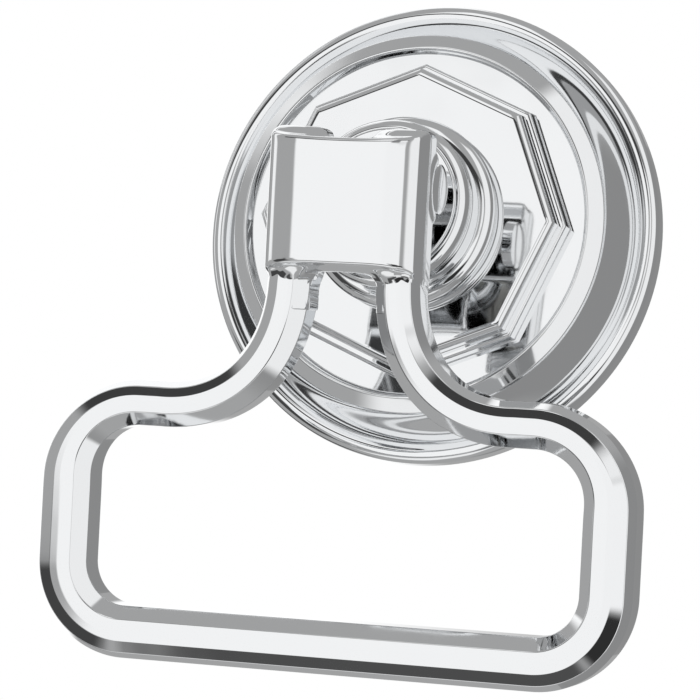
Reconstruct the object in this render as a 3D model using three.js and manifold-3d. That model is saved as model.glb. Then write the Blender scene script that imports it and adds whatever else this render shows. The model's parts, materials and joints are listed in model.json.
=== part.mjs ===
// Wall-mounted towel ring: a round escutcheon with an octagonal relief, a turned boss and post,
// and a closed loop of bar that hangs from the post on a level pin and swings outwards.
//
// Millimetres, +Z up. The wall is the plane y = 0 and the object stands out from it towards -Y.
// The origin is on the wall at the axis of the escutcheon.
import * as THREE from 'three';
import { mergeVertices } from 'three/addons/utils/BufferGeometryUtils.js';
import Module from 'manifold-3d';

const wasm = await Module();
wasm.setup();

// ---------------------------------------------------------------- driving dimensions
const GAP = 0.3;                  // clearance between pieces that touch or nest
const SEGMENTS = 48;              // facets round a large turned piece
const SMALL_SEGMENTS = 20;        // facets round a small turned piece

// Escutcheon: heights are measured out from the wall.
const RIM_RADIUS = 41;
const BEAD_HEIGHT = 4.6;          // rounded outer bead
const COVE_FOOT = 38.1;           // radius where the bead meets the cove
const CREST_OUTER = 33.5;
const CREST_INNER = 30.4;
const CREST_HEIGHT = 15.1;
const FLOOR_HEIGHT = 12.8;        // flat annulus inside the crest
const OCTAGON_FOOT = 27.7;        // axis to a corner of the lower step
const OCTAGON_INSET = 1.35;       // axis to a corner, less by this for each step
const PLATEAU_HEIGHT = 19.6;      // flat top of the octagon
const SHELL = 2.2;                // wall thickness
const MOUTH_RADIUS = 37;          // open back of the shell, takes the wall bracket
const CORE_RADIUS = 21;           // hollow under the octagon

// Boss collar and post.
const BOSS_FOOT = PLATEAU_HEIGHT + GAP;
const BOSS_RADIUS = 17;
const BOSS_NECK = 14;             // valley between the two beads
const BOSS_FRONT = 33;
const BOSS_FACE = 12.8;           // radius of the flat front
const POST_RADIUS = 6;
const POST_FLANGE = 8.2;
const POST_FLANGE_THICK = 3;
const POST_SPIGOT = 4.2;
const DOWEL_RADIUS = 1;
const DOWEL_OFFSET = 6.6;         // from the axis, straight up
const SCREW_RADIUS = 2;           // screw that clamps the post from behind
const WASHER_THICK = 1;

// Hinge.
const PIVOT_OUT = 44.7;            // hinge axis, out from the wall
const TONGUE_HALF = 3.4;          // half thickness of the post's tongue, along the pin
const TONGUE_HEIGHT = 5.5;        // half height of the tongue, and its end radius
const PIN_RADIUS = 2;
const BUSH_RADIUS = 3;
const CAP_RADIUS = 4.2;

// Ring, in its own plane: drops are measured down from the hinge axis.
const BAR_WIDTH = 8.8;            // sides and bottom, in the plane of the loop
const BAR_DEPTH = 8.4;            // sides and bottom, from front to back
const LEG_WIDTH = 7.5;            // legs, necks and shoulders
const LEG_DEPTH = 8.2;
const PLANE_FORWARD = 6.5;        // middle of the bar in front of the hinge axis
const EAR_TOP = 9.2;              // ears rise above the hinge axis
const EAR_INNER = 4.6;
const LEG_OFFSET = 9.4;           // centre of a leg from the middle of the ring
const LUG_RADIUS = 5.6;
const LUG_OUTER = 13.2;
const NECK_START = 16;            // where the necks begin to spread
const NECK_END = 30.5;            // distance from the middle where they are level
const SHOULDER_DROP = 37.7;
const BOTTOM_DROP = 76;  
const LOOP_HALF = 46.8;           // centre of a side bar from the middle of the ring
const SHOULDER_CORNER = 13;       // centre-line radius of the upper bends
const BOTTOM_CORNER = 11.5;
const HANG_ANGLE = 8.4;           // degrees that the free loop leans in towards the wall

// Head plate across the ears.
const PLATE_HALF = 11.7;
const PLATE_TOP = 7.1;
const PLATE_BOTTOM = 12.8;
const PLATE_THICK = 2;  
const PLATE_ROUND = 1.4;

// Wall fixings.
const BRACKET_RADIUS = MOUTH_RADIUS - GAP;
const BRACKET_THICK = 3;
const FIXING_OFFSET = 22;         // wall screws above and below the axis
const FIXING_RADIUS = 2.1;
const FIXING_LENGTH = 32;
const FIXING_HEAD = 4;
const ANCHOR_RADIUS = 3.9;
const ANCHOR_SET = 2.5;           // the plugs sit this far below the face of the wall
const GRUB_RADIUS = 1.3;
const GRUB_OUT = 2;

// ---------------------------------------------------------------- materials
function metal(color, roughness) {
  return new THREE.MeshStandardMaterial({ color, roughness, metalness: 1 });
}

const chrome = () => metal(0xd9dbdd, 0.06);
const steel = () => metal(0x9ea2a6, 0.35);
const zinc = () => metal(0x8d9092, 0.5);
const nylon = () => new THREE.MeshStandardMaterial({ color: 0xe6e4dc, roughness: 0.6, metalness: 0 });

// ---------------------------------------------------------------- solids
function toSolid(geometry) {
  const plain = geometry.clone();
  plain.deleteAttribute('normal');
  plain.deleteAttribute('uv');
  const merged = mergeVertices(plain, 1e-4);
  return new wasm.Manifold(new wasm.Mesh({
    numProp: 3,
    vertProperties: new Float32Array(merged.attributes.position.array),
    triVerts: new Uint32Array(merged.index.array),
  }));
}

function toGeometry(solid) {
  const mesh = solid.getMesh();
  const geometry = new THREE.BufferGeometry();
  const positions = new Float32Array(mesh.vertProperties);
  geometry.setAttribute('position', new THREE.BufferAttribute(positions, 3));
  geometry.setIndex(new THREE.BufferAttribute(new Uint32Array(mesh.triVerts), 1));
  geometry.computeVertexNormals();
  return geometry;
}

function join(...geometries) {
  return toGeometry(geometries.map(toSolid).reduce((sum, solid) => sum.add(solid)));
}

function cut(base, ...tools) {
  return toGeometry(tools.map(toSolid).reduce((rest, tool) => rest.subtract(tool), toSolid(base)));
}

// A turned piece on the escutcheon's axis. Profile pairs are [radius, distance out of the wall].
function turned(profile, segments = SEGMENTS) {
  const points = profile.map(([radius, out]) => new THREE.Vector2(radius, out));
  return new THREE.LatheGeometry(points, segments).rotateX(Math.PI);
}

// Round bars along each axis, centred on the two other coordinates.
function barX(radius, from, to, y, z, segments = SMALL_SEGMENTS) {
  const bar = new THREE.CylinderGeometry(radius, radius, to - from, segments);
  return bar.rotateZ(Math.PI / 2).translate((from + to) / 2, y, z);
}

function barY(radius, from, to, x, z, segments = SMALL_SEGMENTS) {
  const bar = new THREE.CylinderGeometry(radius, radius, to - from, segments);
  return bar.translate(x, (from + to) / 2, z);
}

function barZ(radius, from, to, x, y, segments = SMALL_SEGMENTS) {
  const bar = new THREE.CylinderGeometry(radius, radius, to - from, segments);
  return bar.rotateX(Math.PI / 2).translate(x, y, (from + to) / 2);
}

function block(x0, x1, y0, y1, z0, z1) {
  const box = new THREE.BoxGeometry(x1 - x0, y1 - y0, z1 - z0);
  return box.translate((x0 + x1) / 2, (y0 + y1) / 2, (z0 + z1) / 2);
}

// Points of a profile on an arc, angles in degrees.
function arc(centreRadius, centreOut, radius, from, to, steps) {
  return Array.from({ length: steps + 1 }, (_, i) => {
    const angle = THREE.MathUtils.degToRad(from + ((to - from) * i) / steps);
    return [centreRadius + radius * Math.cos(angle), centreOut + radius * Math.sin(angle)];
  });
}

// ---------------------------------------------------------------- escutcheon
// An octagonal step with a corner straight up.
function octagon(corner, from, to) {
  const prism = new THREE.CylinderGeometry(corner, corner, to - from, 8);
  return prism.translate(0, -(from + to) / 2, 0);
}

function escutcheonProfile() {
  const beadRound = 2.2;
  const under = FLOOR_HEIGHT - SHELL;
  return [
    [MOUTH_RADIUS, 0],
    [RIM_RADIUS, 0],
    ...arc(RIM_RADIUS - beadRound, BEAD_HEIGHT - beadRound, beadRound, 0, 95, 5),
    ...arc(COVE_FOOT + 4.9, CREST_HEIGHT - 2.8, 9.4, 238.5, 180, 6),
    [CREST_INNER + 0.4, CREST_HEIGHT],
    [CREST_INNER, CREST_HEIGHT - 0.1],
    [CREST_INNER - 0.2, FLOOR_HEIGHT],
    [0, FLOOR_HEIGHT],
    [0, under],
    [CREST_INNER + 0.6, under],
    [CREST_INNER + 1.2, under - 0.6],
    [MOUTH_RADIUS - 1.6, BRACKET_THICK + 1.4],
    [MOUTH_RADIUS, BRACKET_THICK + 0.3],
    [MOUTH_RADIUS, 0],
  ];
}

function escutcheonGeometry() {
  const ledge = (FLOOR_HEIGHT + PLATEAU_HEIGHT) / 2;
  const shell = join(
    turned(escutcheonProfile()),
    octagon(OCTAGON_FOOT, FLOOR_HEIGHT - 1, ledge),
    octagon(OCTAGON_FOOT - OCTAGON_INSET, ledge - 1, PLATEAU_HEIGHT),
  );
  const back = -(PLATEAU_HEIGHT - SHELL);
  const front = -(PLATEAU_HEIGHT + 1);
  return cut(
    shell,
    barY(CORE_RADIUS, back, -(FLOOR_HEIGHT - SHELL - 1), 0, 0, SEGMENTS),
    barY(POST_SPIGOT + GAP, front, back + 1, 0, 0),
    barY(DOWEL_RADIUS + GAP, front, back + 1, 0, DOWEL_OFFSET, 12),
    barZ(GRUB_RADIUS + GAP, -RIM_RADIUS - 1, -MOUTH_RADIUS + 1, 0, -GRUB_OUT, 12),
  );
}

// ---------------------------------------------------------------- boss and post
function bossGeometry() {
  const bore = POST_RADIUS + GAP;
  const recess = BOSS_FOOT + POST_FLANGE_THICK + GAP;
  return turned([
    [POST_FLANGE + GAP, BOSS_FOOT],
    [BOSS_RADIUS - 1.6, BOSS_FOOT],
    ...arc(BOSS_RADIUS - 2.4, BOSS_FOOT + 2.6, 2.4, -70, 100, 7),
    [BOSS_NECK, BOSS_FOOT + 5.6],
    ...arc(BOSS_FACE - 0.8, BOSS_FRONT - 2.7, 2.4, -35, 75, 6),
    [BOSS_FACE - 0.3, BOSS_FRONT],
    [bore, BOSS_FRONT],
    [bore, recess],
    [POST_FLANGE + GAP, recess],
    [POST_FLANGE + GAP, BOSS_FOOT],
  ]);
}

// Round up to the boss front, then a flat tongue with a round end about the pin.
function postGeometry() {
  const tail = PLATEAU_HEIGHT - SHELL;
  const shoulder = PIVOT_OUT - TONGUE_HEIGHT - 3;
  const body = turned([
    [0, tail],
    [POST_SPIGOT, tail],
    [POST_SPIGOT, BOSS_FOOT],
    [POST_FLANGE, BOSS_FOOT],
    [POST_FLANGE, BOSS_FOOT + POST_FLANGE_THICK],
    [POST_RADIUS, BOSS_FOOT + POST_FLANGE_THICK],
    [POST_RADIUS, shoulder],
    [0, shoulder],
  ], 32);
  const whole = join(
    body,
    block(-TONGUE_HALF, TONGUE_HALF, -PIVOT_OUT, 1 - shoulder, -TONGUE_HEIGHT, TONGUE_HEIGHT),
    barX(TONGUE_HEIGHT, -TONGUE_HALF, TONGUE_HALF, -PIVOT_OUT, 0, 32),
  );
  return cut(
    whole,
    barX(BUSH_RADIUS + GAP, -TONGUE_HALF - 1, TONGUE_HALF + 1, -PIVOT_OUT, 0),
    barY(SCREW_RADIUS + GAP, -(BOSS_FOOT + 9), 1 - tail, 0, 0),
    barY(DOWEL_RADIUS + GAP, -(BOSS_FOOT + 2), 1 - BOSS_FOOT, 0, DOWEL_OFFSET, 12),
  );
}

// A socket cap screw that comes from behind, its head in the hollow of the escutcheon.
function postScrewGeometry() {
  const headHeight = 4;
  const seat = PLATEAU_HEIGHT - SHELL - 2 * WASHER_THICK - 3 * GAP;
  const screw = turned([
    [0, seat - headHeight],
    [3.6, seat - headHeight],
    [3.6, seat],
    [SCREW_RADIUS, seat],
    [SCREW_RADIUS, BOSS_FOOT + 8],
    [0, BOSS_FOOT + 8],
  ], SMALL_SEGMENTS);
  return cut(screw, barY(1.8, -(seat - 1.6), -(seat - headHeight - 1), 0, 0, 6));
}

function washerProfile(outer, front) {
  const inner = SCREW_RADIUS + GAP;
  const back = front - WASHER_THICK;
  return [[inner, back], [outer, back], [outer, front], [inner, front], [inner, back]];
}

function flatWasherGeometry() {
  return turned(washerProfile(5.4, PLATEAU_HEIGHT - SHELL - GAP), 24);
}

// A spring washer: a ring with one slot.
function lockWasherGeometry() {
  const front = PLATEAU_HEIGHT - SHELL - 2 * GAP - WASHER_THICK;
  const whole = turned(washerProfile(4.2, front), 24);
  return cut(whole, block(0, 6, -front - 1, 1 - front + WASHER_THICK, -0.4, 0.4));
}

function locatingPinGeometry() {
  const tail = PLATEAU_HEIGHT - SHELL + 0.2;
  return barY(DOWEL_RADIUS, -(BOSS_FOOT + 1.7), -tail, 0, DOWEL_OFFSET, 12);
}

// ---------------------------------------------------------------- hinge
function bushGeometry(side) {
  const length = TONGUE_HALF - 0.1;
  const tube = cut(
    barX(BUSH_RADIUS, GAP / 2, length, -PIVOT_OUT, 0),
    barX(PIN_RADIUS + GAP, -1, length + 1, -PIVOT_OUT, 0),
  );
  return side > 0 ? tube : tube.rotateZ(Math.PI).translate(0, -2 * PIVOT_OUT, 0);
}

// From here to the head plate, the hinge axis is the X axis and the ring hangs straight down.
function thrustWasherGeometry(side) {
  const inner = TONGUE_HALF + 0.2;
  const outer = EAR_INNER - 0.2;
  const washer = cut(
    barX(4.6, inner, outer, 0, 0, 24),
    barX(PIN_RADIUS + GAP, inner - 1, outer + 1, 0, 0),
  );
  return side > 0 ? washer : washer.rotateZ(Math.PI);
}

function hingePinGeometry() {
  const half = LUG_OUTER - 2.2;
  return barX(PIN_RADIUS, -half, half, 0, 0);
}

// A low domed cap in the counterbore over the end of the pin.
function capGeometry(side) {
  const dome = turned([
    [0, LUG_OUTER - 1.6],
    [CAP_RADIUS, LUG_OUTER - 1.6],
    [CAP_RADIUS, LUG_OUTER + 0.1],
    [CAP_RADIUS * 0.75, LUG_OUTER + 0.5],
    [0, LUG_OUTER + 0.7],
  ], 24);
  return dome.rotateZ((side * Math.PI) / 2);
}

// ---------------------------------------------------------------- ring
function leftSide(x, drop) {
  return new THREE.Vector3(-x, 0, -drop);
}

function straight(from, to, steps) {
  return new THREE.LineCurve3(from, to).getPoints(steps);
}

function bend(centreX, centreDrop, radius, from, to, steps) {
  const round = new THREE.EllipseCurve(centreX, centreDrop, radius, radius, from, to);
  return round.getPoints(steps).map((p) => leftSide(p.x, p.y));
}

// Centre line of the left half, in two runs: from the top of the ear to the middle of the
// upper bend, and from there to the middle of the bottom bar.
function legPoints() {
  const neck = new THREE.CubicBezierCurve3(
    leftSide(LEG_OFFSET, NECK_START),
    leftSide(LEG_OFFSET, NECK_START + 13.5),
    leftSide(NECK_END - 12.5, SHOULDER_DROP + 0.6),
    leftSide(NECK_END, SHOULDER_DROP),
  );
  const cornerStart = LOOP_HALF - SHOULDER_CORNER;
  return [
    ...straight(leftSide(LEG_OFFSET, -EAR_TOP), leftSide(LEG_OFFSET, NECK_START - 1), 8),
    ...neck.getPoints(10),
    ...bend(cornerStart, SHOULDER_DROP + SHOULDER_CORNER, SHOULDER_CORNER, -Math.PI / 2, -Math.PI / 4, 3),
  ];
}

function sidePoints() {
  const cornerStart = LOOP_HALF - SHOULDER_CORNER;
  const cornerEnd = LOOP_HALF - BOTTOM_CORNER;
  return [
    ...bend(cornerStart, SHOULDER_DROP + SHOULDER_CORNER, SHOULDER_CORNER, -Math.PI / 4, 0, 3),
    ...straight(leftSide(LOOP_HALF, SHOULDER_DROP + SHOULDER_CORNER + 2),
      leftSide(LOOP_HALF, BOTTOM_DROP - BOTTOM_CORNER - 2), 3),
    ...bend(cornerEnd, BOTTOM_DROP - BOTTOM_CORNER, BOTTOM_CORNER, 0, Math.PI / 2, 6),
    ...straight(leftSide(cornerEnd - 3, BOTTOM_DROP), leftSide(3, BOTTOM_DROP), 6),
  ];
}

function sweepBothHalves(points, section, steps) {
  const mirrored = points.map((p) => new THREE.Vector3(-p.x, p.y, p.z)).reverse();
  const extrudePath = new THREE.CatmullRomCurve3([...points, ...mirrored]);
  return new THREE.ExtrudeGeometry(section, { steps, extrudePath });
}

// Bar section: the first axis points forward, the second out of the loop.
function barShape(width, depth) {
  const half = width / 2;
  const deep = depth / 2;
  const corners = [
    [-deep + 1, -half],
    [deep - 2.2, -half],
    [deep - 0.2, -half + 2.4],
    [deep, 0.3],
    [deep - 0.2, half - 1.9],
    [deep - 2.6, half],
    [-deep + 1, half],
    [-deep, half - 1],
    [-deep, -half + 1],
  ];
  return new THREE.Shape(corners.map(([forward, out]) => new THREE.Vector2(forward, out)));
}

function ringBarGeometry() {
  const upperBend = legPoints();
  const bars = [
    sweepBothHalves([...upperBend, ...sidePoints().slice(1)], barShape(LEG_WIDTH, LEG_DEPTH), 110),
    sweepBothHalves(sidePoints(), barShape(BAR_WIDTH, BAR_DEPTH), 60),
  ];
  bars.forEach((bar) => bar.translate(0, -PLANE_FORWARD, 0));
  const lugs = [-1, 1].map((side) => {
    const centre = (side * (EAR_INNER + LUG_OUTER)) / 2;
    const half = (LUG_OUTER - EAR_INNER) / 2;
    return barX(LUG_RADIUS, centre - half, centre + half, 0, 0, 32);
  });
  const slot = block(-EAR_INNER, EAR_INNER, -20, 20, -NECK_START, EAR_TOP + 1);
  const bore = barX(PIN_RADIUS + GAP, -LUG_OUTER - 2, LUG_OUTER + 2, 0, 0);
  const counterbores = [-1, 1].map((side) => {
    const seat = side * (LUG_OUTER - 1.9);
    const open = side * (LUG_OUTER + 3);
    return barX(CAP_RADIUS + GAP, Math.min(seat, open), Math.max(seat, open), 0, 0, 24);
  });
  return cut(join(...bars, ...lugs), slot, bore, ...counterbores);
}

// A rounded plate in front of the ears with a rib that fills the slot between them.
function headPlateGeometry() {
  const back = PLANE_FORWARD + BAR_DEPTH / 2 + GAP;
  const front = back + PLATE_THICK;
  const ribBack = TONGUE_HEIGHT + 1.2;
  const ribHalf = EAR_INNER - GAP;
  const outline = new THREE.Shape();
  outline.moveTo(-PLATE_HALF, -back);
  outline.lineTo(-PLATE_HALF, -(front - PLATE_ROUND));
  outline.quadraticCurveTo(-PLATE_HALF, -front, -PLATE_HALF + PLATE_ROUND, -front);
  outline.lineTo(PLATE_HALF - PLATE_ROUND, -front);
  outline.quadraticCurveTo(PLATE_HALF, -front, PLATE_HALF, -(front - PLATE_ROUND));
  outline.lineTo(PLATE_HALF, -back);
  outline.lineTo(ribHalf, -back);
  outline.lineTo(ribHalf, -ribBack);
  outline.lineTo(-ribHalf, -ribBack);
  outline.lineTo(-ribHalf, -back);
  outline.closePath();
  const depth = PLATE_TOP + PLATE_BOTTOM;
  const plate = new THREE.ExtrudeGeometry(outline, { depth, bevelEnabled: false, curveSegments: 4 });
  return join(plate.translate(0, 0, -PLATE_BOTTOM));
}

// ---------------------------------------------------------------- wall fixings
function bracketGeometry() {
  const disc = barY(BRACKET_RADIUS, -BRACKET_THICK, 0, 0, 0, SEGMENTS);
  const holes = [-1, 1].flatMap((side) => {
    const z = side * FIXING_OFFSET;
    const wide = FIXING_HEAD + GAP + 1.1;
    const sink = new THREE.CylinderGeometry(FIXING_RADIUS + GAP, wide, 3, SMALL_SEGMENTS);
    return [
      barY(FIXING_RADIUS + GAP, -BRACKET_THICK - 1, 1, 0, z),
      sink.translate(0, -BRACKET_THICK + 1.05, z),
    ];
  });
  return cut(disc, ...holes);
}

// A countersunk screw, head flush with the bracket.
function wallScrewGeometry(side) {
  const screw = turned([
    [0, BRACKET_THICK],
    [FIXING_HEAD, BRACKET_THICK],
    [FIXING_HEAD, BRACKET_THICK - 0.4],
    [FIXING_RADIUS, BRACKET_THICK - 2.4],
    [FIXING_RADIUS, BRACKET_THICK - FIXING_LENGTH + 4],
    [0, BRACKET_THICK - FIXING_LENGTH],
  ].reverse(), 16);
  const slots = [block(-2.2, 2.2, -4, -2, -0.45, 0.45), block(-0.45, 0.45, -4, -2, -2.2, 2.2)];
  return cut(screw, ...slots).translate(0, 0, side * FIXING_OFFSET);
}

// A ribbed plug round the screw, closed at neither end.
function wallAnchorGeometry(side) {
  const bore = FIXING_RADIUS + GAP;
  const ribs = 5;
  const pitch = 5;
  const outside = Array.from({ length: ribs }, (_, i) => [
    [ANCHOR_RADIUS, -ANCHOR_SET - i * pitch],
    [ANCHOR_RADIUS - 0.7, -ANCHOR_SET - (i + 1) * pitch],
  ]).flat();
  const end = -ANCHOR_SET - ribs * pitch;
  const plug = turned([[bore, end], ...outside.reverse(), [bore, -ANCHOR_SET], [bore, end]], 16);
  return plug.translate(0, 0, side * FIXING_OFFSET);
}

function lockSetScrewGeometry() {
  const screw = barZ(GRUB_RADIUS, -RIM_RADIUS + 0.6, -BRACKET_RADIUS - GAP, 0, -GRUB_OUT, 12);
  const socket = barZ(0.8, -RIM_RADIUS - 1, -RIM_RADIUS + 2, 0, -GRUB_OUT, 6);
  return cut(screw, socket);
}

// ---------------------------------------------------------------- assembly
function piece(name, geometry, material) {
  const mesh = new THREE.Mesh(geometry, material);
  mesh.name = name;
  return mesh;
}

function fixedPieces() {
  const sides = [['upper', 1], ['lower', -1]];
  const hands = [['left', -1], ['right', 1]];
  return [
    piece('wall_bracket', bracketGeometry(), zinc()),
    ...sides.map(([name, side]) => piece(`wall_screw_${name}`, wallScrewGeometry(side), steel())),
    ...sides.map(([name, side]) => piece(`wall_anchor_${name}`, wallAnchorGeometry(side), nylon())),
    piece('escutcheon', escutcheonGeometry(), chrome()),
    piece('lock_set_screw', lockSetScrewGeometry(), steel()),
    piece('boss_collar', bossGeometry(), chrome()),
    piece('post', postGeometry(), chrome()),
    piece('post_screw', postScrewGeometry(), steel()),
    piece('flat_washer', flatWasherGeometry(), steel()),
    piece('lock_washer', lockWasherGeometry(), steel()),
    piece('locating_pin', locatingPinGeometry(), steel()),
    ...hands.map(([name, side]) => piece(`tongue_bush_${name}`, bushGeometry(side), nylon())),
  ];
}

function swingingPieces() {
  const hands = [['left', -1], ['right', 1]];
  return [
    piece('ring_bar', ringBarGeometry(), chrome()),
    piece('head_plate', headPlateGeometry(), chrome()),
    piece('hinge_pin', hingePinGeometry(), steel()),
    ...hands.map(([name, side]) => piece(`pin_cap_${name}`, capGeometry(side), chrome())),
    ...hands.map(([name, side]) => piece(`thrust_washer_${name}`, thrustWasherGeometry(side), nylon())),
  ];
}

const towelRing = new THREE.Group();
towelRing.add(...fixedPieces());

const swing = new THREE.Group();
swing.position.set(0, -PIVOT_OUT, 0);
swing.rotation.x = THREE.MathUtils.degToRad(HANG_ANGLE);
swing.add(...swingingPieces());
towelRing.add(swing);

export default towelRing;
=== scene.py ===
import cmath
import json
import math

import bmesh
import bpy
import numpy as np
from mathutils import Matrix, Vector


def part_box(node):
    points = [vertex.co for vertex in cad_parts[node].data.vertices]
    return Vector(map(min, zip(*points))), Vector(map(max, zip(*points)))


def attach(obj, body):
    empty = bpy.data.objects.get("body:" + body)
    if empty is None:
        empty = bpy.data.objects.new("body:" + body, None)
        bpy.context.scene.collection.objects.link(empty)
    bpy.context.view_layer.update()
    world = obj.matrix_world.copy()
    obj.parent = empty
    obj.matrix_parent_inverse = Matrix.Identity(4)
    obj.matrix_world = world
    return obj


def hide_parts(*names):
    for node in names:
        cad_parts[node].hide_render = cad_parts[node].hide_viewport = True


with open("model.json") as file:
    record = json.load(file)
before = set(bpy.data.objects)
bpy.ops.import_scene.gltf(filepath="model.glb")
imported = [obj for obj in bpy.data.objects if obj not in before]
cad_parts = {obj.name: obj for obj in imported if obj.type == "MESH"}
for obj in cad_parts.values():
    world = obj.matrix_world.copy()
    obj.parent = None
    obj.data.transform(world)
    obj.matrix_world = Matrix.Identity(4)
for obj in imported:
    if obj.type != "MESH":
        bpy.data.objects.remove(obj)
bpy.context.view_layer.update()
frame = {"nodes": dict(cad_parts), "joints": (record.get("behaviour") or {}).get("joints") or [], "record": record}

MM = 0.001

# ---------------------------------------------------------------- dimensions, mm
RIM_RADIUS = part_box("escutcheon")[1].x / MM
PLATEAU = -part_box("escutcheon")[0].y / MM            # flat top of the octagon, out from the wall
BOSS_FOOT = -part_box("boss_collar")[1].y / MM
BOSS_FRONT = -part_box("boss_collar")[0].y / MM
PIVOT_OUT = -frame["joints"][0]["pos_m"][1] / MM     # hinge axis, out from the wall
CAP_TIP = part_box("pin_cap_right")[1].x / MM

LEAN_DEG = 8.4            # the free loop leans this far in towards the wall
FLOOR = 12.8              # flat annulus between the crest and the octagon
CREST = 15.1
MOUTH_RADIUS = 37.0       # open back of the escutcheon
SHELL = 2.2
POST_RADIUS = 6.0
TONGUE_HALF = 3.4
TONGUE_ROUND = 5.5

# Ring, measured sideways, forward and down from the hinge axis.
PLANE_FORWARD = 6.5
BAR_WIDTH = 8.8
LEG_WIDTH = 7.5
BAR_DEPTH = 8.4
LEG_DEPTH = 8.2
LEG_OFFSET = 9.4
NECK_START = 16.0
NECK_END = 30.5
SHOULDER_DROP = 37.7
BOTTOM_DROP = 76.0
LOOP_HALF = 46.8
SHOULDER_CORNER = 13.0
BOTTOM_CORNER = 11.5
INNER_CHAMFER = 2.2
OUTER_CHAMFER = 1.0
FLAT_SHARE = 0.64         # part of the front before the outer facet
FACET_TILT = 17.0         # slope of the outer facet, degrees
EAR_TOP = 9.2
EAR_INNER = 4.6
LUG_RADIUS = 5.6
LUG_OUTER = 13.2
PLATE_HALF = 12.8
PLATE_TOP = 7.8
PLATE_BOTTOM = 13.3
PLATE_FRONT = 13.0

AROUND = 192              # segments round the large turned pieces
CAP_AROUND = 72
HEAD_STEP = 0.24          # cell size of the head casting's surface
COUNTERBORE_RADIUS = 4.5
COUNTERBORE_FLOOR = 11.4  # sideways from the middle

# Camera, in metres and radians.
CAMERA_PLACE = (0.18174, -0.60343, -0.10650)
CAMERA_YAW = 0.3137
CAMERA_PITCH = 0.1338
CAMERA_ROLL = -0.0974
CAMERA_LENS = 185.2       # mm, on a 36 mm sensor

# Floor, in metres.
FLOOR_HALF = 1.5
FLOOR_LEVEL = -0.25

ROOM_TONE = 0.40          # the studio where there is no card


# ---------------------------------------------------------------- outlines
def rounded(corners, closed=True, steps=8, support=0.05):
    """Outline through corners (x, y, radius), each rounded by an arc with a support point at each end."""
    points = []
    for i, (x, y, radius) in enumerate(corners):
        here = complex(x, y)
        before = complex(*corners[i - 1][:2]) - here
        after = complex(*corners[(i + 1) % len(corners)][:2]) - here
        at_end = not closed and i in (0, len(corners) - 1)
        if radius == 0 or at_end:
            points.append(here)
            continue
        u = before / abs(before)
        v = after / abs(after)
        half = abs(cmath.phase(v / u)) / 2
        reach = min(radius / math.tan(half), 0.46 * min(abs(before), abs(after)))
        centre = here + (u + v) / abs(u + v) * reach / math.cos(half)
        start = here + u * reach - centre
        turn = cmath.phase((here + v * reach - centre) / start)
        points.append(here + u * (reach + support))
        points += [centre + start * cmath.exp(1j * turn * k / steps) for k in range(steps + 1)]
        points.append(here + v * (reach + support))
    return [(p.real, p.imag) for p in points]


def arc(x, y, radius, start, end, steps=14):
    """Points on an arc about (x, y), angles in degrees."""
    angles = np.radians(np.linspace(start, end, steps + 1))
    return [(x + radius * math.cos(a), y + radius * math.sin(a)) for a in angles]


def bezier(p0, p1, p2, p3, steps):
    """Points of a cubic curve."""
    t = np.linspace(0, 1, steps + 1)[:, None]
    p0, p1, p2, p3 = (np.array(p, float) for p in (p0, p1, p2, p3))
    return (1 - t) ** 3 * p0 + 3 * t * (1 - t) ** 2 * p1 + 3 * t * t * (1 - t) * p2 + t ** 3 * p3


# ---------------------------------------------------------------- meshes
def finish_mesh(name, verts, faces, sharp_deg=32):
    """An object from points in mm, its faces turned outwards and smooth up to the sharp angle."""
    mesh = bpy.data.meshes.new(name)
    mesh.from_pydata((np.asarray(verts) * MM).tolist(), [], faces)
    work = bmesh.new()
    work.from_mesh(mesh)
    bmesh.ops.remove_doubles(work, verts=work.verts, dist=1e-7)
    bmesh.ops.recalc_face_normals(work, faces=work.faces)
    work.to_mesh(mesh)
    work.free()
    mesh.shade_smooth()
    mesh.set_sharp_from_angle(angle=math.radians(sharp_deg))
    piece = bpy.data.objects.new(name, mesh)
    bpy.context.scene.collection.objects.link(piece)
    return piece


def skin(name, loops, ring=False, sharp_deg=32):
    """A closed skin over loops of points: ring joins last to first, else both ends are capped."""
    loops = np.asarray(loops, float)
    count, size = loops.shape[:2]
    faces = []
    for i in range(count if ring else count - 1):
        a = i * size
        b = ((i + 1) % count) * size
        faces += [(a + j, a + (j + 1) % size, b + (j + 1) % size, b + j) for j in range(size)]
    if not ring:
        faces.append(tuple(range(size)))
        faces.append(tuple(range((count - 1) * size, count * size)))
    return finish_mesh(name, loops.reshape(-1, 3), faces, sharp_deg)


def circle_loop(radius, out, around=AROUND):
    """A ring of points round the escutcheon's axis, starting straight up."""
    angles = math.pi / 2 + np.arange(around) * 2 * math.pi / around
    return np.stack([radius * np.cos(angles), np.full(around, -out), radius * np.sin(angles)], 1)


def octagon_loop(apothem, out, around=AROUND):
    """The same round an octagon that has a corner straight up."""
    angles = np.arange(around) * 2 * math.pi / around
    radius = apothem / np.cos(angles % (math.pi / 4) - math.pi / 8)
    loop = circle_loop(1, out, around)
    return loop * np.stack([radius, np.ones(around), radius], 1)


def turned(name, profile, ring=False, around=AROUND, sharp_deg=32):
    """A turned piece on the escutcheon's axis, from points (radius, distance out of the wall)."""
    return skin(name, [circle_loop(r, out, around) for r, out in profile], ring, sharp_deg)


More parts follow.
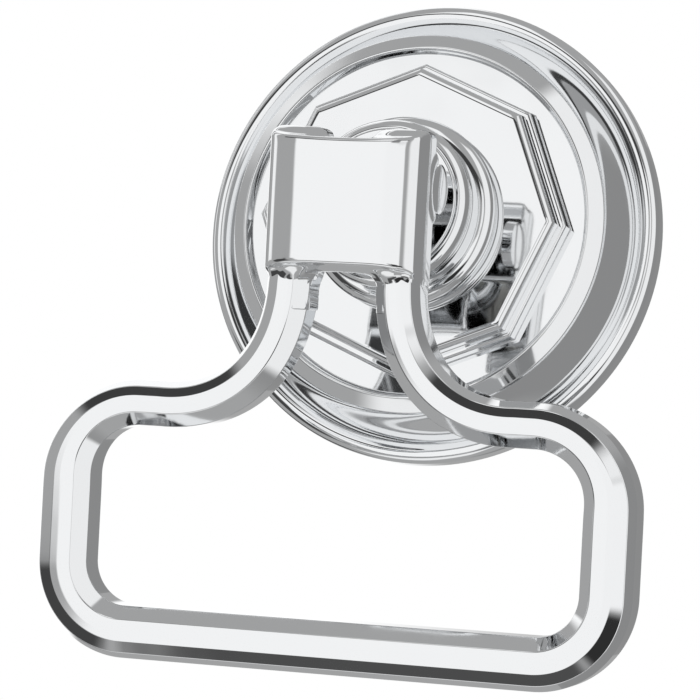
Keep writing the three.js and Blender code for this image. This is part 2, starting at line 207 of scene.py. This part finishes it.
# ---------------------------------------------------------------- escutcheon and boss
def escutcheon():
    """One closed shell: bead, cove, crest, floor, two octagonal steps, and the hollow back."""
    bead = arc(RIM_RADIUS - 1.75, 3.0, 1.75, 0, 158)
    cove = bezier((38.0, 3.3), (37.2, 3.9), (34.6, 7.6), (33.5, 12.5), 24).tolist()
    front = (
        rounded([(MOUTH_RADIUS, 0.0, 0), (RIM_RADIUS, 0.0, 0.4), (RIM_RADIUS, 2.9, 0)], closed=False)
        + bead + cove
        + rounded([(33.5, 12.6, 0), (33.42, 12.95, 0.3), (30.6, CREST, 0.45), (30.2, FLOOR, 0.3),
                   (29.0, FLOOR, 0)], closed=False)
    )
    ledge = (FLOOR + PLATEAU) / 2
    steps = rounded([
        (26.2, FLOOR, 0), (25.55, FLOOR, 0.2), (25.5, ledge, 1.25), (24.3, ledge, 0.12),
        (24.25, PLATEAU, 1.35), (21.0, PLATEAU, 0),
    ], closed=False)
    bore = POST_RADIUS - 1.0
    inside = rounded([
        (bore, PLATEAU, 0), (bore, PLATEAU - SHELL, 0), (20.6, PLATEAU - SHELL, 0.8),
        (21.0, FLOOR - SHELL, 0.4), (30.8, FLOOR - SHELL, 1.5), (35.4, 4.4, 1.0), (MOUTH_RADIUS, 3.3, 0.3),
        (MOUTH_RADIUS, 0.0, 0),
    ], closed=False)
    loops = [circle_loop(r, out) for r, out in front]
    loops += [octagon_loop(r, out) for r, out in steps]
    loops += [circle_loop(r, out) for r, out in inside[:-1]]
    return skin("escutcheon_shell", loops, ring=True, sharp_deg=24)


def boss():
    """A collar with a flat mirror face, a small bead, a hollow neck and a larger bead."""
    face = BOSS_FRONT
    profile = (
        rounded([(POST_RADIUS + 0.3, BOSS_FOOT, 0), (POST_RADIUS + 0.3, face, 0.3), (12.45, face, 0.35),
                 (12.6, face - 0.5, 0)], closed=False)
        + arc(12.1, face - 2.75, 2.4, 72, -28)
        + bezier((14.1, face - 4.2), (13.7, face - 5.6), (13.7, face - 7.2), (14.2, face - 8.5), 8).tolist()
        + arc(14.35, BOSS_FOOT + 2.2, 2.4, 93, -62)
    )
    return turned("boss_turned", profile, ring=True, sharp_deg=30)


def post_pieces():
    """The round post, and the flat tongue with a round end that holds the pin."""
    shoulder = PIVOT_OUT - TONGUE_ROUND - 3
    body = turned("post_round", rounded([
        (0.01, BOSS_FOOT + 4, 0), (POST_RADIUS, BOSS_FOOT + 4, 0), (POST_RADIUS, shoulder, 1.2),
        (0.01, shoulder, 0),
    ]), around=96)
    tip = np.array(arc(PIVOT_OUT, 0, TONGUE_ROUND, -90, 90, 28) + [
        (shoulder - 4, TONGUE_ROUND), (shoulder - 4, -TONGUE_ROUND)])
    middle = np.array([PIVOT_OUT - 3, 0])
    edge = rounded([(-TONGUE_HALF, 0.9, 0), (-TONGUE_HALF, 1.0, 0.5), (TONGUE_HALF, 1.0, 0.5),
                    (TONGUE_HALF, 0.9, 0)], closed=False, steps=4)
    loops = []
    for x, scale in edge:
        outline = middle + (tip - middle) * scale
        loops.append(np.stack([np.full(len(tip), x), -outline[:, 0], outline[:, 1]], 1))
    return [body, skin("post_tongue", loops)]


# ---------------------------------------------------------------- ring, in its own hanging frame
def hang(points):
    """Moves points (sideways, forward, down from the hinge axis) to where the loop hangs."""
    points = np.asarray(points, float)
    lean = math.radians(LEAN_DEG)
    y = -points[..., 1]
    z = -points[..., 2]
    turned_y = y * math.cos(lean) - z * math.sin(lean)
    turned_z = y * math.sin(lean) + z * math.cos(lean)
    return np.stack([points[..., 0], turned_y - PIVOT_OUT, turned_z], -1)


def bar_corners(width, depth):
    """Section of the bar, (out of the loop, forward, radius): flat front, outer facet, chamfers."""
    side = width / 2
    deep = depth / 2
    left = -side + INNER_CHAMFER
    right = side - OUTER_CHAMFER
    knee = left + (right - left) * FLAT_SHARE
    fall = (right - knee) * math.tan(math.radians(FACET_TILT))
    return [
        (-side, deep - 2.4, 0.35), (left, deep - 0.15, 0.45), ((left + knee) / 2, deep, 8.0),
        (knee, deep - 0.12, 0.9), (right, deep - 0.12 - fall, 0.3), (side, deep - 2.7, 0.4),
        (side, -deep, 1.1), (-side, -deep, 1.1),
    ]


def centre_line():
    """Centre line of the whole loop, (sideways, down), from inside the left ear to inside the right."""
    top = SHOULDER_DROP + SHOULDER_CORNER
    low = BOTTOM_DROP - BOTTOM_CORNER
    left = [(LEG_OFFSET, drop) for drop in np.linspace(12, NECK_START, 9)[:-1]]
    left += bezier((LEG_OFFSET, NECK_START), (LEG_OFFSET, NECK_START + 13.5),
                   (NECK_END - 12.5, SHOULDER_DROP + 0.6), (NECK_END, SHOULDER_DROP), 44).tolist()
    left += arc(LOOP_HALF - SHOULDER_CORNER, top, SHOULDER_CORNER, -88, -2, 36)
    left += [(LOOP_HALF, drop) for drop in np.linspace(top + 1, low - 1, 10)]
    left += arc(LOOP_HALF - BOTTOM_CORNER, low, BOTTOM_CORNER, 2, 88, 36)
    left += [(x, BOTTOM_DROP) for x in np.linspace(LOOP_HALF - BOTTOM_CORNER - 1, 0, 16)]
    left = np.array(left) * (-1, 1)
    return np.concatenate([left, left[-2::-1] * (-1, 1)])


def ring_bar():
    """The bar swept along its centre line, a little slimmer in the legs, necks and shoulders."""
    line = centre_line()
    along = np.gradient(line, axis=0)
    along /= np.linalg.norm(along, axis=1)[:, None]
    out = np.stack([along[:, 1], -along[:, 0]], 1)
    wide = np.array(rounded(bar_corners(BAR_WIDTH, BAR_DEPTH), steps=6, support=0.04))
    slim = np.array(rounded(bar_corners(LEG_WIDTH, LEG_DEPTH), steps=6, support=0.04))
    loops = []
    for (x, drop), normal in zip(line, out):
        share = np.clip((drop - SHOULDER_DROP + 1) / 16, 0, 1)
        share = share * share * (3 - 2 * share)
        section = slim + (wide - slim) * share
        inside_head = np.clip((17 - drop) / 2, 0, 1)
        section = section * (1 - 0.03 * inside_head)
        away = -section[:, :1] * normal
        forward = PLANE_FORWARD + section[:, 1]
        loops.append(np.stack([x + away[:, 0], forward, drop + away[:, 1]], 1))
    return skin("ring_loop", hang(loops), sharp_deg=40)


# ---------------------------------------------------------------- head casting, as a smooth field
def smooth_max(a, b, width):
    """Larger of two fields, rounded where they meet."""
    overlap = np.maximum(width - np.abs(a - b), 0) / width
    return np.maximum(a, b) + overlap * overlap * width / 4


def smooth_min(a, b, width):
    """Smaller of two fields, filleted where they meet."""
    return -smooth_max(-a, -b, width)


def ease(low, high, value):
    """0 below low, 1 above high, smooth between."""
    share = np.clip((value - low) / (high - low), 0, 1)
    return share * share * (3 - 2 * share)


def leg_field(x, forward, drop):
    """Both legs and ears: the slim bar's section, with the inner side nearer the middle at the ears."""
    out = np.abs(x) - LEG_OFFSET
    ahead = forward - PLANE_FORWARD
    widen = (LEG_OFFSET - EAR_INNER - LEG_WIDTH / 2) * (1 - ease(12, 18, drop))
    out = np.where(out < 0, out * (LEG_WIDTH / 2) / (LEG_WIDTH / 2 + widen), out)
    corners = bar_corners(LEG_WIDTH, LEG_DEPTH)
    field = None
    for (x0, y0, _), (x1, y1, _) in zip(corners, corners[1:] + corners[:1]):
        length = math.hypot(x1 - x0, y1 - y0)
        plane = ((y0 - y1) * (out - x0) + (x1 - x0) * (ahead - y0)) / length
        field = plane if field is None else smooth_max(field, plane, 0.5)
    field = field + 0.12 * ease(15, 17, drop)
    return smooth_max(field, -EAR_TOP - drop, 1.5)


def plate_field(x, forward, drop):
    """The pillowed plate: its top edge dips, its lower corners droop into the legs."""
    across = np.abs(x) / PLATE_HALF
    front = forward - (PLATE_FRONT - 2.1 * np.clip(across, 0, 1.2) ** 5 - 0.0016 * (drop - 3) ** 2)
    top = -drop - (PLATE_TOP - 0.45 * (1 - across ** 2))
    bottom = drop - (PLATE_BOTTOM + 0.9 * np.clip(across, 0, 1.1) ** 6)
    field = smooth_max(np.abs(x) - PLATE_HALF, 7.5 - forward, 0.5)
    field = smooth_max(field, front, 1.0)
    field = smooth_max(field, bottom, 0.7)
    return smooth_max(field, top, 0.8)


def web_field(x, forward, drop):
    """The saddle that joins the two legs behind and just below the plate."""
    arch = 15.1 - 0.7 * (1 - (x / 8) ** 2)
    field = smooth_max(np.abs(x) - LEG_OFFSET, 6.7 - forward, 0.6)
    field = smooth_max(field, forward - 10.9, 1.8)
    field = smooth_max(field, drop - arch, 1.8)
    return smooth_max(field, -5.5 - drop, 1.5)


def lug_field(x, forward, drop):
    """The bosses on the ears that hold the pin."""
    field = np.hypot(forward, drop) - LUG_RADIUS
    return smooth_max(field, np.abs(np.abs(x) - 8.9) - 4.3, 0.7)


def head_field(x, forward, drop):
    """Distance-like field of the whole head, negative inside."""
    field = smooth_min(leg_field(x, forward, drop), lug_field(x, forward, drop), 1.2)
    field = smooth_min(field, web_field(x, forward, drop), 1.6)
    field = smooth_min(field, plate_field(x, forward, drop), 2.0)
    counterbore = np.maximum(np.hypot(forward, drop) - COUNTERBORE_RADIUS, COUNTERBORE_FLOOR - np.abs(x))
    field = smooth_max(field, -counterbore, 0.3)
    return smooth_max(field, drop - 21, 0.4)


def gradient(field, points, step=0.02):
    """Gradient of a field at points, by central differences."""
    columns = []
    for axis in range(3):
        move = np.zeros(3)
        move[axis] = step
        columns.append((field(*(points + move).T) - field(*(points - move).T)) / (2 * step))
    return np.stack(columns, 1)


def surface_net(field, low, high, step):
    """Quads on the zero surface of a field: one vertex in each cell that the surface crosses."""
    axes = [np.arange(a, b + step, step) for a, b in zip(low, high)]
    grid = np.meshgrid(*axes, indexing="ij")
    inside = field(*grid) < 0
    cells = tuple(n - 1 for n in inside.shape)
    count = np.zeros(cells, int)
    for corner in np.ndindex(2, 2, 2):
        count += inside[tuple(slice(c, c + n) for c, n in zip(corner, cells))]
    crossed = (count > 0) & (count < 8)
    index = np.full(cells, -1)
    index[crossed] = np.arange(crossed.sum())
    points = np.array(low) + (np.argwhere(crossed) + 0.5) * step
    quads = []
    for axis in range(3):
        side_a, side_b = [k for k in range(3) if k != axis]
        edge = np.diff(inside.astype(int), axis=axis)
        at = np.argwhere(edge != 0)
        at = at[(at[:, side_a] > 0) & (at[:, side_b] > 0)]
        at = at[(at[:, side_a] < cells[side_a]) & (at[:, side_b] < cells[side_b])]
        around = []
        for da, db in ((0, 0), (1, 0), (1, 1), (0, 1)):
            cell = at.copy()
            cell[:, side_a] -= da
            cell[:, side_b] -= db
            around.append(index[tuple(cell.T)])
        quads.append(np.stack(around, 1))
    return points, np.concatenate(quads)


def head_casting():
    """Plate, ears, lugs and saddle in one smooth casting."""
    low = (-14.4, 1.2, -10.6)
    high = (14.4, 14.4, 22.0)
    points, quads = surface_net(head_field, low, high, HEAD_STEP)
    for _ in range(5):
        slope = gradient(head_field, points)
        miss = head_field(*points.T)[:, None]
        points = points - np.clip(miss * slope / (slope ** 2).sum(1, keepdims=True), -0.2, 0.2)
    slope = gradient(head_field, points)
    ends = hang(points + slope / np.linalg.norm(slope, axis=1)[:, None])
    placed = hang(points)
    piece = finish_mesh("head_casting", placed, quads.tolist(), sharp_deg=180)
    normals = ends - placed
    if len(piece.data.vertices) == len(normals):
        piece.data.normals_split_custom_set_from_vertices(normals.tolist())
    return piece


def pin_cap(side):
    """A low dome over the end of the pin."""
    seat = LUG_OUTER - 1.7
    tip = CAP_TIP
    profile = rounded([(0.01, seat, 0), (4.2, seat, 0.2), (4.2, tip - 0.75, 0.5)], closed=False)
    dome = bezier((4.1, tip - 0.6), (3.6, tip - 0.12), (2.0, tip), (0.01, tip), 12).tolist()
    loops = []
    angles = np.arange(CAP_AROUND) * 2 * math.pi / CAP_AROUND
    for radius, reach in profile[:-1] + dome:
        sideways = np.full(CAP_AROUND, side * reach)
        loops.append(np.stack([sideways, radius * np.cos(angles), radius * np.sin(angles)], 1))
    return skin("cap_left" if side < 0 else "cap_right", hang(loops), sharp_deg=30)


# ---------------------------------------------------------------- materials
def shader(name, color, metallic, roughness):
    """A material with its node tree, its shader node and an object-space coordinate socket."""
    material = bpy.data.materials.new(name)
    material.use_nodes = True
    nodes = material.node_tree.nodes
    body = nodes["Principled BSDF"]
    body.inputs["Base Color"].default_value = (*color, 1)
    body.inputs["Metallic"].default_value = metallic
    body.inputs["Roughness"].default_value = roughness
    coords = nodes.new("ShaderNodeTexCoord")
    return material, body, coords.outputs["Object"]


def noise(material, coords, scale, detail):
    """A noise texture; scale is in features per metre."""
    texture = material.node_tree.nodes.new("ShaderNodeTexNoise")
    texture.inputs["Scale"].default_value = scale
    texture.inputs["Detail"].default_value = detail
    material.node_tree.links.new(coords, texture.inputs["Vector"])
    return texture.outputs["Fac"]


def ramp(material, value, low, high, start=0.3, end=0.7):
    """Maps a 0..1 value onto a range of numbers or grey levels."""
    node = material.node_tree.nodes.new("ShaderNodeMapRange")
    node.inputs["From Min"].default_value = start
    node.inputs["From Max"].default_value = end
    node.inputs["To Min"].default_value = low
    node.inputs["To Max"].default_value = high
    material.node_tree.links.new(value, node.inputs["Value"])
    return node.outputs["Result"]


def bump(material, body, height, distance, strength=1.0):
    """Raises the surface by a height in metres, on top of any earlier bump."""
    node = material.node_tree.nodes.new("ShaderNodeBump")
    node.inputs["Distance"].default_value = distance
    node.inputs["Strength"].default_value = strength
    links = material.node_tree.links
    links.new(height, node.inputs["Height"])
    if body.inputs["Normal"].is_linked:
        links.new(body.inputs["Normal"].links[0].from_socket, node.inputs["Normal"])
    links.new(node.outputs["Normal"], body.inputs["Normal"])


def polished_chrome():
    """Mirror chrome: a slow waviness from polishing and faint wiped streaks in the gloss."""
    material, body, coords = shader("polished chrome", (0.86, 0.87, 0.88), 1.0, 0.04)
    links = material.node_tree.links
    smudge = noise(material, coords, 90, 5)
    links.new(ramp(material, smudge, 0.02, 0.07), body.inputs["Roughness"])
    bump(material, body, noise(material, coords, 45, 2), 0.00006, 1.0)
    return material


def plain_steel():
    """Machined steel with a fine satin grain."""
    material, body, coords = shader("plain steel", (0.55, 0.56, 0.57), 1.0, 0.3)
    links = material.node_tree.links
    grain = noise(material, coords, 2600, 3)
    links.new(ramp(material, grain, 0.22, 0.42), body.inputs["Roughness"])
    bump(material, body, grain, 0.00003, 0.4)
    return material


def zinc_plate():
    """Dull zinc with soft cloudy patches."""
    material, body, coords = shader("zinc plate", (0.42, 0.43, 0.44), 1.0, 0.45)
    links = material.node_tree.links
    cloud = noise(material, coords, 160, 6)
    links.new(ramp(material, cloud, 0.33, 0.6), body.inputs["Roughness"])
    bump(material, body, noise(material, coords, 900, 4), 0.00004, 0.5)
    return material


def natural_nylon():
    """Off-white moulded plastic with a slight mould texture."""
    material, body, coords = shader("natural nylon", (0.78, 0.76, 0.7), 0.0, 0.45)
    links = material.node_tree.links
    texture = noise(material, coords, 1500, 3)
    links.new(ramp(material, texture, 0.38, 0.55), body.inputs["Roughness"])
    bump(material, body, texture, 0.00003, 0.5)
    return material


def pale_floor():
    """Matt pale floor with a barely visible grain."""
    material, body, coords = shader("pale floor", (0.8, 0.8, 0.8), 0.0, 0.8)
    bump(material, body, noise(material, coords, 60, 3), 0.0002, 0.2)
    return material


# ---------------------------------------------------------------- studio
def studio_world(cards, ground, white=1.0):
    """White to the camera; for reflections, a grey room with soft-edged cards.

    A card is (azimuth, elevation, half width, half height, edge, tone), angles in degrees:
    azimuth 0 is straight out from the wall and grows towards +X. Later cards cover earlier ones."""
    world = bpy.data.worlds.new("studio")
    world.use_nodes = True
    bpy.context.scene.world = world
    tree = world.node_tree
    nodes = tree.nodes
    links = tree.links

    def math_node(kind, a, b=None):
        node = nodes.new("ShaderNodeMath")
        node.operation = kind
        for socket, value in zip(node.inputs, (a, b)):
            if value is None:
                continue
            if isinstance(value, (int, float)):
                socket.default_value = value
            else:
                links.new(value, socket)
        return node.outputs[0]

    coords = nodes.new("ShaderNodeTexCoord")
    split = nodes.new("ShaderNodeSeparateXYZ")
    links.new(coords.outputs["Generated"], split.inputs[0])
    x, y, z = split.outputs
    azimuth = math_node("MULTIPLY", math_node("ARCTAN2", x, math_node("MULTIPLY", y, -1.0)), 180 / math.pi)
    elevation = math_node("MULTIPLY", math_node("ARCSINE", z), 180 / math.pi)

    def fade(value, centre, half, edge):
        distance = math_node("ABSOLUTE", math_node("SUBTRACT", value, centre))
        node = nodes.new("ShaderNodeMapRange")
        node.interpolation_type = "SMOOTHSTEP"
        node.inputs["From Min"].default_value = half + edge / 2
        node.inputs["From Max"].default_value = half - edge / 2
        links.new(distance, node.inputs["Value"])
        return node.outputs["Result"]

    tone = nodes.new("ShaderNodeValue").outputs[0]
    tone.default_value = ground
    for card_azimuth, card_elevation, half_width, half_height, edge, level in cards:
        mask = math_node("MULTIPLY", fade(azimuth, card_azimuth, half_width, edge),
                         fade(elevation, card_elevation, half_height, edge))
        blend = nodes.new("ShaderNodeMix")
        links.new(mask, blend.inputs["Factor"])
        links.new(tone, blend.inputs["A"])
        blend.inputs["B"].default_value = level
        tone = blend.outputs["Result"]

    seen = nodes.new("ShaderNodeLightPath").outputs["Is Camera Ray"]
    final = nodes.new("ShaderNodeMix")
    links.new(seen, final.inputs["Factor"])
    links.new(tone, final.inputs["A"])
    final.inputs["B"].default_value = white
    background = nodes["Background"]
    links.new(final.outputs["Result"], background.inputs["Color"])
    background.inputs["Strength"].default_value = 1.0


CARDS = [
    (130, -10, 55, 50, 20, 0.28),
    (-140, 25, 24, 38, 6, 1.10),
    (-115, 20, 5, 32, 4, 0.18),
    (-132, -30, 10, 18, 8, 0.07),
    (-103, 40, 5, 25, 4, 1.10),
    (-78, 22, 5, 26, 4, 1.00),
    (-30, -68, 45, 12, 8, 0.95),
    (22, -50, 12, 10, 6, 0.85),
    (-12, 12, 10, 42, 4, 1.02),
    (-17, 1, 14, 12, 3, 1.02),
    (-15, -24, 13, 20, 4, 1.02),
    (10, -7, 17, 9, 4, 1.00),
    (-10, 20, 40, 6, 4, 0.05),
    (-52, -26, 16, 16, 5, 0.06),
    (20, 12, 8, 10, 5, 0.95),
    (19, -28, 15, 10, 4, 0.03),
    (-5, -45, 25, 5, 4, 0.08),
    (61, 8, 24, 55, 7, 0.95),
]
studio_world(CARDS, ROOM_TONE)


def camera():
    """Long lens from below and to the right."""
    data = bpy.data.cameras.new("camera")
    data.sensor_width = 36
    data.lens = CAMERA_LENS
    data.clip_start = 0.05
    data.clip_end = 20
    view = bpy.data.objects.new("camera", data)
    bpy.context.scene.collection.objects.link(view)
    yaw = Matrix.Rotation(CAMERA_YAW, 3, "Z")
    pitch = Matrix.Rotation(CAMERA_PITCH, 3, "X")
    roll = Matrix.Rotation(CAMERA_ROLL, 3, "Y")
    upright = Matrix.Rotation(math.pi / 2, 3, "X")
    place = Matrix.Translation(CAMERA_PLACE)
    view.matrix_world = place @ (yaw @ pitch @ roll @ upright).to_4x4()
    bpy.context.scene.camera = view


camera()
bpy.context.scene.view_settings.view_transform = "Standard"


def floor():
    """A pale floor well below the object, left out of the chrome's reflections of the studio."""
    half = FLOOR_HALF
    level = FLOOR_LEVEL
    mesh = bpy.data.meshes.new("floor")
    corners = [(-half, -half, level), (half, -half, level), (half, half, level), (-half, half, level)]
    mesh.from_pydata(corners, [], [(0, 1, 2, 3)])
    plane = bpy.data.objects.new("floor", mesh)
    bpy.context.scene.collection.objects.link(plane)
    mesh.materials.append(pale_floor())
    plane.visible_glossy = False


floor()

# ---------------------------------------------------------------- assembly
FINISHES = {
    "polished_chrome": polished_chrome(),
    "steel": plain_steel(),
    "zinc_plate": zinc_plate(),
    "nylon": natural_nylon(),
}


def add(piece, body, slot, *nodes):
    """Gives a piece its finish and its body, and hides the CAD nodes that it stands for."""
    piece.data.materials.clear()
    piece.data.materials.append(FINISHES[slot])
    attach(piece, body)
    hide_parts(*nodes)


add(escutcheon(), "root", "polished_chrome", "escutcheon")
add(boss(), "root", "polished_chrome", "boss_collar")
for post_piece in post_pieces():
    add(post_piece, "root", "polished_chrome", "post")
add(ring_bar(), "ring", "polished_chrome", "ring_bar")
add(head_casting(), "ring", "polished_chrome", "head_plate")
add(pin_cap(-1), "ring", "polished_chrome", "pin_cap_left")
add(pin_cap(1), "ring", "polished_chrome", "pin_cap_right")

for row in frame["record"]["subparts"]:
    node = frame["nodes"][row["node"]]
    node.data.materials.clear()
    node.data.materials.append(FINISHES[row["material_slot"]])
